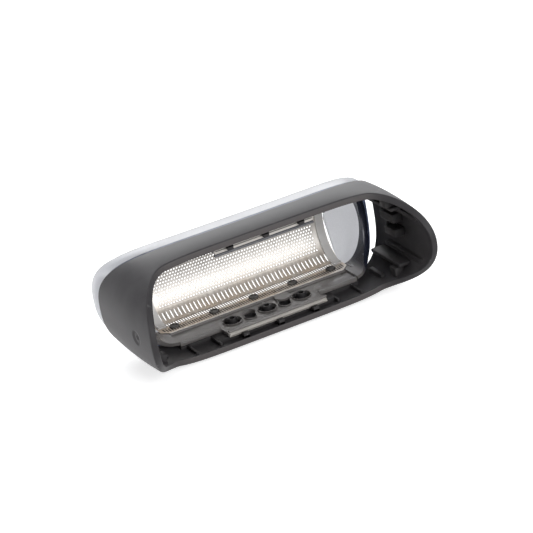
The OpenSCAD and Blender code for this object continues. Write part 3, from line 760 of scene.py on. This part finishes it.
def makeEndDetails(setup):
    # the right end's ribs and latch blocks, then one corner, mirrored to all four
    face, root, edge = setup["face"], setup["root"], setup["edge"]
    half = setup["ribWidth"] / 2
    parts = [roundedBlock((face - setup["ribWidth"], root), (setup["ribNear"], setup["ribFar"]),
                          (z - half, z + half), edge)
             for z in (-setup["ribHeight"], setup["ribHeight"])]
    lowLatch = setup["latchFar"] - setup["post"]
    parts += [
        roundedBlock((face - setup["latchReach"], root), (setup["latchNear"], setup["latchFar"]),
                     (setup["latchGapTop"], setup["latchTop"]), edge),
        roundedBlock((face - setup["latchReach"], root), (setup["latchNear"], lowLatch),
                     (setup["boxLow"], setup["boxTop"]), edge),
        roundedBlock((face - setup["post"], root), (lowLatch, setup["latchFar"]),
                     (setup["boxLow"], setup["latchTop"]), edge),
    ]
    x = setup["postX"]
    corner = [
        roundedBlock((x - setup["post"] / 2, x + setup["post"] / 2),
                     (setup["postNear"], setup["postFar"]),
                     (-setup["sideRoot"], -setup["postInner"]), edge),
        roundedBlock(setup["bracketX"], setup["bracketDepth"],
                     tuple(-z for z in setup["bracketHeight"][::-1]), edge),
        roundedBlock(setup["shelfX"], setup["shelfDepth"],
                     tuple(-z for z in setup["shelfHeight"][::-1]), edge),
    ]
    parts += corner + mirrored(corner, 2)
    parts = trimmed(parts, setup)
    return parts + mirrored(parts, 0)


# the seats and end blocks wear the charcoal with painted shade
makePiece("frameSeats", makeSeats(inside), charcoalPaintedShade)
makePiece("frameEndBlocks", makeEndDetails(endBlocks), charcoalPaintedShade)
print("frame details made")


# Trim ring: a wall that leans out, then a dome that closes in to the foil's window
ring = {
    "halfLength": 27.9, "halfWidth": 10.65, "flare": 1.4, "leanIn": 0.05, "wall": 0.7,
    "crestHeight": 7, "crestRise": 6.6, "windowHalfLength": 20.3, "windowHalfWidth": 8.1,
    "windowPowers": (30, 30), "crownDepth": 18.65, "endCrown": 1.1, "seatGap": 0.05,
    "endSlot": 1.3, "sideWall": 0.35, "endWall": 0.42, "sideDome": 2, "endDome": 3, "endPower": 6,
    "columns": 640, "wallRows": 12, "domeRows": 26, "innerRows": 22, "followWall": 1.25,
    "smoothAngle": 45,
}


def crestAt(x):
    # the crest rises to the ends as the shoulder does, with its own rise
    share = np.abs(x) / (ring["halfLength"] + ring["flare"])
    lift = ring["crestRise"] * share ** head["risePower"]
    return head["shoulderDepth"] + ring["crestHeight"] + lift


def crownAt(x, z):
    # the crest's extra depth over the window: full beside the foil's end, small at the ring's end
    start = ring["crownDepth"] - crestAt(np.array(ring["windowHalfLength"]))
    share = np.clip((np.abs(x) - ring["windowHalfLength"])
                    / (ring["halfLength"] + ring["flare"] - ring["windowHalfLength"]), 0, 1)
    return mix(start, ring["endCrown"], share) * np.maximum(0, 1 - (z / ring["windowHalfWidth"]) ** 2)


def ringRow(turn, share, inset):
    # share 0 to 1 climbs the wall, 1 to 2 runs over the dome: h = 1 - cos(90 t),
    # lift = (1 - (1 - h)^e)^(1/e) with e from sideDome to endDome
    endShare = np.abs(np.cos(turn)) ** (head["spacing"] * ring["endPower"])
    lowX, lowZ = outline(turn, ring["halfLength"] - inset, ring["halfWidth"] - inset,
                         head["shoulderPowers"])
    midX, midZ = outline(turn, ring["halfLength"] + ring["flare"] - inset,
                         ring["halfWidth"] - ring["leanIn"] - inset, head["shoulderPowers"])
    outX, _ = outward(turn, ring["halfLength"], ring["halfWidth"], head["shoulderPowers"])
    footX, _ = outline(turn, ring["halfLength"], ring["halfWidth"], head["shoulderPowers"])
    low = (shoulderAt(np.abs(footX) + ring["followWall"] * np.abs(outX)) + ring["seatGap"]
           + ring["endSlot"] * endShare)
    mid = low + ring["crestHeight"] * mix(ring["sideWall"], ring["endWall"], endShare)
    if share <= 1:
        return np.stack([mix(lowX, midX, share), mix(low, mid, share), mix(lowZ, midZ, share)], -1)
    h = 1 - math.cos(math.pi / 2 * (share - 1))
    winX, winZ = outline(turn, ring["windowHalfLength"], ring["windowHalfWidth"], ring["windowPowers"])
    x, z = mix(midX, winX, h), mix(midZ, winZ, h)
    power = mix(ring["sideDome"], ring["endDome"], endShare)
    lift = np.maximum(0, 1 - (1 - h) ** power) ** (1 / power)
    top = crestAt(x) + crownAt(x, z) - inset
    return np.stack([x, mix(mid, top, lift), z], -1)


def makeRing(setup):
    # the outer rows up and over to the window, then back down a wall's thickness inside
    turn = np.linspace(0, 2 * math.pi, setup["columns"], endpoint=False)
    outer = np.concatenate([np.linspace(0, 1, setup["wallRows"], endpoint=False),
                            np.linspace(1, 2, setup["domeRows"])])
    inner = np.linspace(2, 0, setup["innerRows"])
    rows = [ringRow(turn, share, 0) for share in outer]
    rows += [ringRow(turn, share, setup["wall"]) for share in inner]
    faces = gridFaces(len(rows), setup["columns"], True, True)
    return np.concatenate(rows), faces, np.repeat(np.concatenate([outer, inner]), setup["columns"])


ringPoints, ringFaces, ringRise = makeRing(ring)
makePiece("trimRing", [(ringPoints, ringFaces)], silverPlastic, ["trim_ring"],
          ring["smoothAngle"], {"rise": ringRise})
print("trim ring made")


# Foil: sheets of cells on a half-step lattice, bent over the flanks and the arch
foil = {
    "halfLength": 20.1, "halfWidth": 7.7, "edgeDepth": 9.5, "flankDepth": 13, "crownDepth": 18.3,
    "sheet": 0.08, "holePitch": 0.6, "slitPitch": 0.5, "plainEnd": 2.9, "fineMargin": 0.7,
    "slotMargin": 1.9, "holeShare": 0.6,
    "fineRows": ((0.4, 2.4), (2.55, 4.45)), "fineEnd": 4.6, "slotRows": ((4.85, 7.35),), "seam": 7.6,
    "slotPitch": 0.84, "chamfer": 1.5, "lipEdge": 0.3, "slitWidthShare": 0.5, "slotWidthShare": 0.3,
    "slotBurrAndShade": 0.1, "slitLengthShare": 0.84, "squareness": 0.12, "tanEnd": 10.0,
    "tanFade": 6.5,
}


def foilLength():
    # the arch's length by the trapezium rule on 2000 steps, as a table from length to angle
    q = np.linspace(0, math.pi, 2001)
    z = -foil["halfWidth"] * np.cos(q)
    depth = foil["flankDepth"] + (foil["crownDepth"] - foil["flankDepth"]) * np.sin(q)
    run = np.concatenate([[0], np.cumsum(np.hypot(np.diff(z), np.diff(depth)))])
    return q, run


archAngle, archRun = foilLength()
flankRun = foil["flankDepth"] - foil["edgeDepth"]
foilRun = archRun[-1] + 2 * flankRun


def foilSpot(x, s, inset):
    # a point at x and at length s along the section, moved inwards by inset: the flanks are
    # straight and the arch is (depth, z) = (flank + c sin q, -w cos q)
    q = np.interp(s - flankRun, archRun, archAngle)
    w, c = foil["halfWidth"] - inset, foil["crownDepth"] - inset - foil["flankDepth"]
    depth = np.where(s < flankRun, foil["edgeDepth"] + s,
                     np.where(s > foilRun - flankRun, foil["edgeDepth"] + foilRun - s,
                              foil["flankDepth"] + c * np.sin(q)))
    z = np.where(s < flankRun, -w, np.where(s > foilRun - flankRun, w, -w * np.cos(q)))
    return np.stack([x + 0 * s, depth, z], -1)


def cellSheet(xs, ss, openCells, holeHalf, squareness, sheet):
    # a lattice of nodes xs by ss. A cell covers two steps each way, and an open one has a hole of
    # eight points, (cos, sin) pushed towards a square. Both faces of the sheet are made, with
    # walls along the holes and the border
    columns, rows = len(xs), len(ss)
    flatX, flatS = np.meshgrid(xs, ss)
    flat = np.stack([flatX.ravel(), flatS.ravel()], -1)
    covered = np.zeros((rows - 1, columns - 1), bool)
    i, j = np.array(openCells).T
    for di in (0, 1):
        for dj in (0, 1):
            covered[j + dj, i + di] = True
    a, b = np.meshgrid(np.arange(columns - 1), np.arange(rows - 1))
    a, b = a[~covered], b[~covered]
    quads = np.stack([b * columns + a, b * columns + a + 1,
                      (b + 1) * columns + a + 1, (b + 1) * columns + a], -1)
    around = np.array([(0, 0), (1, 0), (2, 0), (2, 1), (2, 2), (1, 2), (0, 2), (0, 1)])
    ringNodes = (j[:, None] + around[:, 1]) * columns + i[:, None] + around[:, 0]
    reach = around - 1
    shape = mix(reach / np.hypot(reach[:, 0], reach[:, 1])[:, None], reach, squareness)
    middle = np.stack([xs[i + 1], ss[j + 1]], -1)
    holes = middle[:, None, :] + shape[None] * np.asarray(holeHalf)[:, None, :]
    holeNodes = len(flat) + np.arange(len(i) * 8).reshape(-1, 8)
    rims = np.stack([ringNodes, np.roll(ringNodes, -1, 1), np.roll(holeNodes, -1, 1), holeNodes], -1)
    flat = np.concatenate([flat, holes.reshape(-1, 2)])
    if ss[0] == 0:
        cut = np.maximum(0, np.abs(flat[:, 0]) - foil["halfLength"] + foil["chamfer"])
        flat[:, 1] = mix(cut, ss[-1], flat[:, 1] / ss[-1])
    faces = np.concatenate([quads, rims.reshape(-1, 4)])
    edges = np.concatenate([faces[:, [k, (k + 1) % 4]] for k in range(4)])
    key = np.sort(edges, 1)
    count = len(flat)
    _, first, times = np.unique(key[:, 0] * count + key[:, 1], return_index=True, return_counts=True)
    border = edges[first[times == 1]]
    walls = np.stack([border[:, 1], border[:, 0], border[:, 0] + count, border[:, 1] + count], -1)
    points = np.concatenate([foilSpot(flat[:, 0], flat[:, 1], 0),
                             foilSpot(flat[:, 0], flat[:, 1], sheet)])
    run = np.minimum(flat[:, 1], foilRun - flat[:, 1])
    slotted = np.clip((foil["tanEnd"] - run) / foil["tanFade"], 0, 1) * (run > foil["lipEdge"])
    # the hole rims' points, for darker rims: burrs and painted shade in the holes
    burrAndShade = np.arange(count) >= columns * rows
    marks = np.tile(np.stack([slotted, burrAndShade]), 2)
    return points, np.concatenate([faces, faces[:, ::-1] + count, walls]), marks


def latticeX(pitch):
    # columns half a pitch apart, with the first and the last one at the foil's ends
    cells = int(2 * foil["halfLength"] / pitch / 2) * 2
    xs = np.linspace(-cells * pitch / 2, cells * pitch / 2, cells * 2 + 1)
    xs[0], xs[-1] = -foil["halfLength"], foil["halfLength"]
    return xs


def makeSlits(setup, pitch, widthShare, burrAndShadeLevel, slits, start, end, margin):
    # rows of slits between the two lengths; towards the foil's end the columns shrink, so that
    # the free corner is cut off by the chamfer
    xs = latticeX(pitch)
    ss, opens, halves = [start], [], []
    limit = setup["halfLength"] - margin
    for low, high in slits:
        j = len(ss)
        ss += [low, (low + high) / 2, high]
        for i in range(0, len(xs) - 2, 2):
            if abs(xs[i + 1]) < limit:
                opens.append((i, j))
                halves.append((pitch * widthShare / 2,
                               (high - low) * setup["slitLengthShare"] / 2))
    ss.append(end)
    points, faces, marks = cellSheet(xs, np.array(ss), opens, halves, setup["squareness"],
                                     setup["sheet"])
    marks[1] *= burrAndShadeLevel
    return points, faces, marks


def makeArch(setup):
    # staggered round holes from seam to seam
    xs = latticeX(setup["holePitch"])
    span = foilRun - 2 * setup["seam"]
    cells = int(span / setup["holePitch"] / 2) * 2
    ss = setup["seam"] + np.linspace(0, span, cells * 2 + 1)
    limit = setup["halfLength"] - setup["plainEnd"]
    opens = [(i, j) for n, j in enumerate(range(1, len(ss) - 3, 2))
             for i in range(n % 2, len(xs) - 2, 2) if abs(xs[i + 1]) < limit]
    half = setup["holePitch"] * setup["holeShare"] / 2
    return cellSheet(xs, ss, opens, [(half, half)] * len(opens), setup["squareness"], setup["sheet"])


arch = makeArch(foil)
fine = makeSlits(foil, foil["slitPitch"], foil["slitWidthShare"], 1, foil["fineRows"],
                 0, foil["fineEnd"], foil["fineMargin"])
slots = makeSlits(foil, foil["slotPitch"], foil["slotWidthShare"], foil["slotBurrAndShade"],
                  foil["slotRows"], foil["fineEnd"], foil["seam"], foil["slotMargin"])
foilMarks = [arch[2], fine[2], slots[2], fine[2], slots[2]]
foilPiece = makePiece("foilSheet",
                      [arch[:2], fine[:2], slots[:2]] + mirrored([fine[:2], slots[:2]], 2),
                      nickelFoil, ["shaver_foil"],
                      attributes={label: np.concatenate([marks[k] for marks in foilMarks])
                                  for k, label in enumerate(("slotted", "burrAndShade"))})
print("foil made:", len(foilPiece.data.polygons), "faces")


# Clear rails: a plate with a tab, five holes with raised lips, and a double edge along the tab
rail = {
    "halfLength": 18.95, "near": inside["railNear"], "far": 12.3, "step": 9.3,
    "stripLow": 8.45, "stripHigh": 7.75, "faceLow": 8.8, "faceHigh": 8.1, "tabHalf": 10.4,
    "tabNear": 1.4, "edge": 0.09, "holeDepth": inside["holeDepth"], "pitch": inside["pitch"],
    "holeRadius": 1.8, "slotRadius": 1.1, "slotReach": 0.95, "slotTilt": -18, "lip": 0.16,
    "lipRise": 0.22, "lipEdge": 0.05, "bead": 0.6, "beadHigh": 7.85,
    "flangeRise": 0.65, "groove": 0.18, "grooveStep": 0.02, "grooveShare": 0.3, "seam": 0.02,
    "windowNear": 2.15, "windowFar": 3.0, "windowRound": 0.25,
    "windows": ((-8.7, 0.85), (-3.7, 1.35), (3.7, 1.35), (8.7, 0.85)),
    "tongueX": 4.4, "tongueDepth": 8.4, "tongueRadius": 1.7, "tongueHigh": 7.76,
    "tongueCut": (0.1, 0.09),
    "rivetCount": 5, "rivetPitch": 8.45, "rivetDepth": 11.7, "rivetHole": 0.35, "rivetSteps": 8,
    "tabRounds": (0.2, 0.6, 0.35, 0.35, 0.6, 0.2, 0.15, 0.15), "stripRound": 0.15,
    "beadRound": 0.14, "flangeRound": 0.12, "roundRings": 4, "overlap": 0.05,
}


def railHoles(setup, grown=0):
    # the tab's three round holes, then its two tilted slots, each grown outwards
    circles = [stadium(k * setup["pitch"], setup["holeDepth"], 0, setup["holeRadius"] + grown)
               for k in (-1, 0, 1)]
    return circles + [stadium(k * setup["pitch"] / 2, setup["holeDepth"], setup["slotReach"],
                              setup["slotRadius"] + grown, math.radians(setup["slotTilt"]))
                      for k in (-1, 1)]


def railPlates(setup):
    # plates cut by loops: rounded polygons, circles and stadiums in x and depth
    low, high = -setup["faceLow"], -setup["faceHigh"]
    tab, end, near = setup["tabHalf"], setup["halfLength"], setup["near"]
    outer = roundedLoop([(-end, near), (-tab, near), (-tab, setup["tabNear"]),
                         (tab, setup["tabNear"]), (tab, near), (end, near),
                         (end, setup["step"]), (-end, setup["step"])],
                        setup["tabRounds"])
    a, b = setup["windowNear"], setup["windowFar"]
    windows = [roundedLoop([(m - half, a), (m + half, a), (m + half, b), (m - half, b)],
                           [setup["windowRound"]] * 4)
               for m, half in setup["windows"]]
    parts = [plateSolid(outer, railHoles(setup) + windows, low, high, setup["edge"])]
    for hole, lip in zip(railHoles(setup), railHoles(setup, setup["lip"])):
        parts.append(plateSolid(lip, [hole], high, high + setup["lipRise"], setup["lipEdge"]))
    rivetHoles = [stadium(setup["rivetPitch"] * (k - setup["rivetCount"] // 2), setup["rivetDepth"],
                          0, setup["rivetHole"], 0, setup["rivetSteps"])
                  for k in range(setup["rivetCount"])]
    start = setup["step"] + setup["seam"]
    strip = roundedLoop([(-end, start), (end, start), (end, setup["far"]), (-end, setup["far"])],
                        [setup["stripRound"]] * 4)
    parts.append(plateSolid(strip, rivetHoles, -setup["stripLow"], -setup["stripHigh"],
                            setup["edge"]))
    return parts


def railTrims(setup):
    # a bead along the near edge beside the tab, the tab's double edge with its groove, and the
    # low round tongue
    low, high = -setup["faceLow"], -setup["faceHigh"]
    tab, end, near, bead = setup["tabHalf"], setup["halfLength"], setup["near"], setup["bead"]
    parts = [roundedBlock(span, (near, near + bead), (high - setup["overlap"], -setup["beadHigh"]),
                          setup["beadRound"], setup["roundRings"])
             for span in ((-end, -tab), (tab, end))]
    top, share = high + setup["flangeRise"], setup["grooveShare"]
    for start, stop, inset, step in ((0, 1, setup["groove"], setup["grooveStep"]),
                                     (0, share, 0, 0), (1 - share, 1, 0, 0)):
        parts.append(roundedBlock((-tab + inset, tab - inset),
                                  (setup["tabNear"] + inset, setup["tabNear"] + bead),
                                  (mix(low, top, start) + step, mix(low, top, stop) - step),
                                  setup["flangeRound"], setup["roundRings"]))
    radius, face, cut = setup["tongueRadius"], -setup["tongueHigh"], setup["tongueCut"]
    parts.append(turnedPiece(setup["tongueX"], setup["tongueDepth"],
                             [(radius, high - setup["overlap"]), (radius, face - cut[1]),
                              (radius - cut[0], face)]))
    return parts


railParts = railPlates(rail) + railTrims(rail)
makePiece("lowerClearRail", railParts, clearCarrier, ["lower_rail"])
makePiece("upperClearRail", mirrored(railParts, 2), clearCarrier, ["upper_rail"])


# End loops: a band round each end, a bow inside the foil and two feet
loop = {
    "start": 19.05, "bend": 20.2, "halfLength": 26.2, "halfWidth": 8.45, "endWall": 1.5,
    "sideWall": 0.7, "near": rail["near"], "nearRise": 6.4, "power": 1.4, "far": rail["far"],
    "steps": 60, "cut": 0.12, "cutShare": 0.125,
    "bowX": (18.2, 19.8), "bowHalf": 7.57, "bowCrown": 18.17, "bowSheet": 0.4, "bowSteps": 48,
    "bowNear": 12.4,
    "footX": (20.25, 21.4), "footDepth": (9.5, 12.1), "footHeight": (7.64, 7.9),
}


def makeBand(setup):
    # the band's section is a box with cut corners, carried round a half ellipse. Each corner is
    # (share from the outer to the inner side, depth), and the near edge climbs towards the end
    turn = np.linspace(-math.pi / 2, math.pi / 2, setup["steps"])

    def path(endInset, sideInset):
        x = setup["bend"] + (setup["halfLength"] - endInset - setup["bend"]) * np.cos(turn)
        z = (setup["halfWidth"] - sideInset) * np.sin(turn)
        start = [setup["start"]]
        return np.concatenate([start, x, start]), np.concatenate([z[:1], z, z[-1:]])

    outX, outZ = path(0, 0)
    inX, inZ = path(setup["endWall"], setup["sideWall"])
    away = np.maximum(0, outX - setup["start"]) / (setup["halfLength"] - setup["start"])
    near = setup["near"] + setup["nearRise"] * away ** setup["power"]
    far, cut, share = setup["far"] + 0 * near, setup["cut"], setup["cutShare"]
    section = [(0, near + cut), (share, near), (1 - share, near), (1, near + cut),
               (1, far - cut), (1 - share, far), (share, far), (0, far - cut)]
    rows = [np.stack([mix(outX, inX, across), depth, mix(outZ, inZ, across)], -1)
            for across, depth in section]
    return closedRows(np.array(rows).transpose(1, 0, 2))


def makeBow(setup):
    # an arch of constant sheet that lines the foil's end, its section a box carried along it
    q = np.linspace(0, math.pi, setup["bowSteps"])
    rows = []
    for x, inset in [(setup["bowX"][0], 0), (setup["bowX"][1], 0), (setup["bowX"][1], 1),
                     (setup["bowX"][0], 1)]:
        w = setup["bowHalf"] - inset * setup["bowSheet"]
        c = setup["bowCrown"] - inset * setup["bowSheet"] - foil["flankDepth"]
        z = np.concatenate([[-w], -w * np.cos(q), [w]])
        depth = np.concatenate([[setup["bowNear"]], foil["flankDepth"] + c * np.sin(q),
                                [setup["bowNear"]]])
        rows.append(np.stack([0 * z + x, depth, z], -1))
    return closedRows(np.array(rows).transpose(1, 0, 2))


def makeLoop(setup):
    # the right end's loop, its foot below and that foot's mirror image above
    feet = [roundedBlock(setup["footX"], setup["footDepth"],
                         tuple(-z for z in setup["footHeight"][::-1]))]
    return [makeBand(setup), makeBow(setup)] + feet + mirrored(feet, 2)


loopParts = makeLoop(loop)
makePiece("rightClearLoop", loopParts, clearCarrier, ["right_end_loop"])
makePiece("leftClearLoop", mirrored(loopParts, 0), clearCarrier, ["left_end_loop"])
print("clear carrier made")


# Rivets: each a shank with a low head that has a rolled rim and a dished middle
rivets = {
    "pitch": rail["rivetPitch"], "depth": rail["rivetDepth"], "count": rail["rivetCount"],
    "radius": 1.0, "shank": 0.3, "back": rail["stripLow"], "face": 7.595,
    "rollAndDish": ((1, 0.12), (0.93, 0.03), (0.8, 0), (0.66, 0.04), (0.52, 0.14), (0.3, 0.1),
                    (0.1, 0.08)),
    "head": 0.25, "segments": 36, "smoothAngle": 40,
}


def makeRivet(setup, k):
    # radii and heights of the turned profile, from the shank's back to the dish
    top, r = -setup["face"] + setup["head"], setup["radius"]
    profile = [(setup["shank"], -setup["back"]), (setup["shank"], -setup["face"]),
               (r, -setup["face"])]
    profile += [(share * r, top - drop) for share, drop in setup["rollAndDish"]]
    return turnedPiece(setup["pitch"] * k, setup["depth"], profile, setup["segments"])


for side in ("lower", "upper"):
    for k in range(rivets["count"]):
        rivet = [makeRivet(rivets, k - rivets["count"] // 2)]
        makePiece("%sRivetHead%d" % (side, k + 1), mirrored(rivet, 2) if side == "upper" else rivet,
                  darkRivet, ["rivet_%s_%d" % (side, k + 1)], rivets["smoothAngle"])
print("rivets made")


# Floor, world and lamps
studio = {
    "floorSize": 3.0, "floorColour": (0.9, 0.9, 0.9), "floorGlow": 0.62, "floorRoughness": 0.9,
    "floorSpecular": 0.1, "skyColour": (0.95, 0.97, 1.0), "skySeen": 1.05, "skyLight": 0.22,
    "aim": (0, 0, 0.01),
}
lamps = {
    "backRight": {"spot": (0.20, 0.44, 0.26), "size": (0.42, 0.30), "power": 1.55},
    "top": {"spot": (-0.02, 0.05, 0.60), "size": (0.50, 0.40), "power": 1.2},
    "leftLow": {"spot": (-0.50, 0.06, 0.03), "size": (0.26, 0.16), "power": 2.0},
    "front": {"spot": (0.12, -0.47, 0.22), "size": (0.30, 0.36), "power": 1.7},
}


def whiteRays(tree):
    # 1 for the rays that should meet the white background: those of the camera, and those that a
    # clear or bright surface sends on
    ray = addNode(tree, "ShaderNodeLightPath").outputs
    passed = worked(tree, "MAXIMUM", ray["Is Camera Ray"], ray["Is Transmission Ray"])
    return worked(tree, "MAXIMUM", passed, ray["Is Glossy Ray"])


def makeFloor(setup):
    # a pale plane that glows only for the rays that should see a white background
    size = setup["floorSize"]
    mesh = bpy.data.meshes.new("studioFloor")
    mesh.from_pydata([(-size, -size, 0), (size, -size, 0), (size, size, 0), (-size, size, 0)], [],
                     [(0, 1, 2, 3)])
    floor = bpy.data.objects.new("studioFloor", mesh)
    bpy.context.scene.collection.objects.link(floor)
    material, tree, shader = newMaterial("floorWhite")
    setShader(tree, shader, {
        "Base Color": (*setup["floorColour"], 1), "Roughness": setup["floorRoughness"],
        "Specular IOR Level": setup["floorSpecular"], "Emission Color": (1, 1, 1, 1),
        "Emission Strength": worked(tree, "MULTIPLY", whiteRays(tree), setup["floorGlow"]),
    })
    mesh.materials.append(material)


def makeWorld(setup):
    # white to the same rays, and a soft low light to all others
    world = bpy.data.worlds.new("studioWorld")
    bpy.context.scene.world = world
    world.use_nodes = True
    tree = world.node_tree
    setShader(tree, tree.nodes["Background"], {
        "Color": (*setup["skyColour"], 1),
        "Strength": ranged(tree, whiteRays(tree), (setup["skyLight"], setup["skySeen"])),
    })


def makeLamp(name, setup):
    # an area lamp at its spot, turned to the head's middle
    data = bpy.data.lights.new(name, "AREA")
    data.shape, (data.size, data.size_y) = "RECTANGLE", setup["size"]
    data.energy = setup["power"]
    lamp = bpy.data.objects.new(name, data)
    bpy.context.scene.collection.objects.link(lamp)
    spot = Vector(setup["spot"])
    turn = (Vector(studio["aim"]) - spot).to_track_quat("-Z", "Y").to_matrix().to_4x4()
    lamp.matrix_world = Matrix.Translation(spot) @ turn


makeFloor(studio)
makeWorld(studio)
for name, setup in lamps.items():
    makeLamp(name + "Lamp", setup)
bpy.context.scene.view_settings.view_transform = "Standard"
print("studio made")
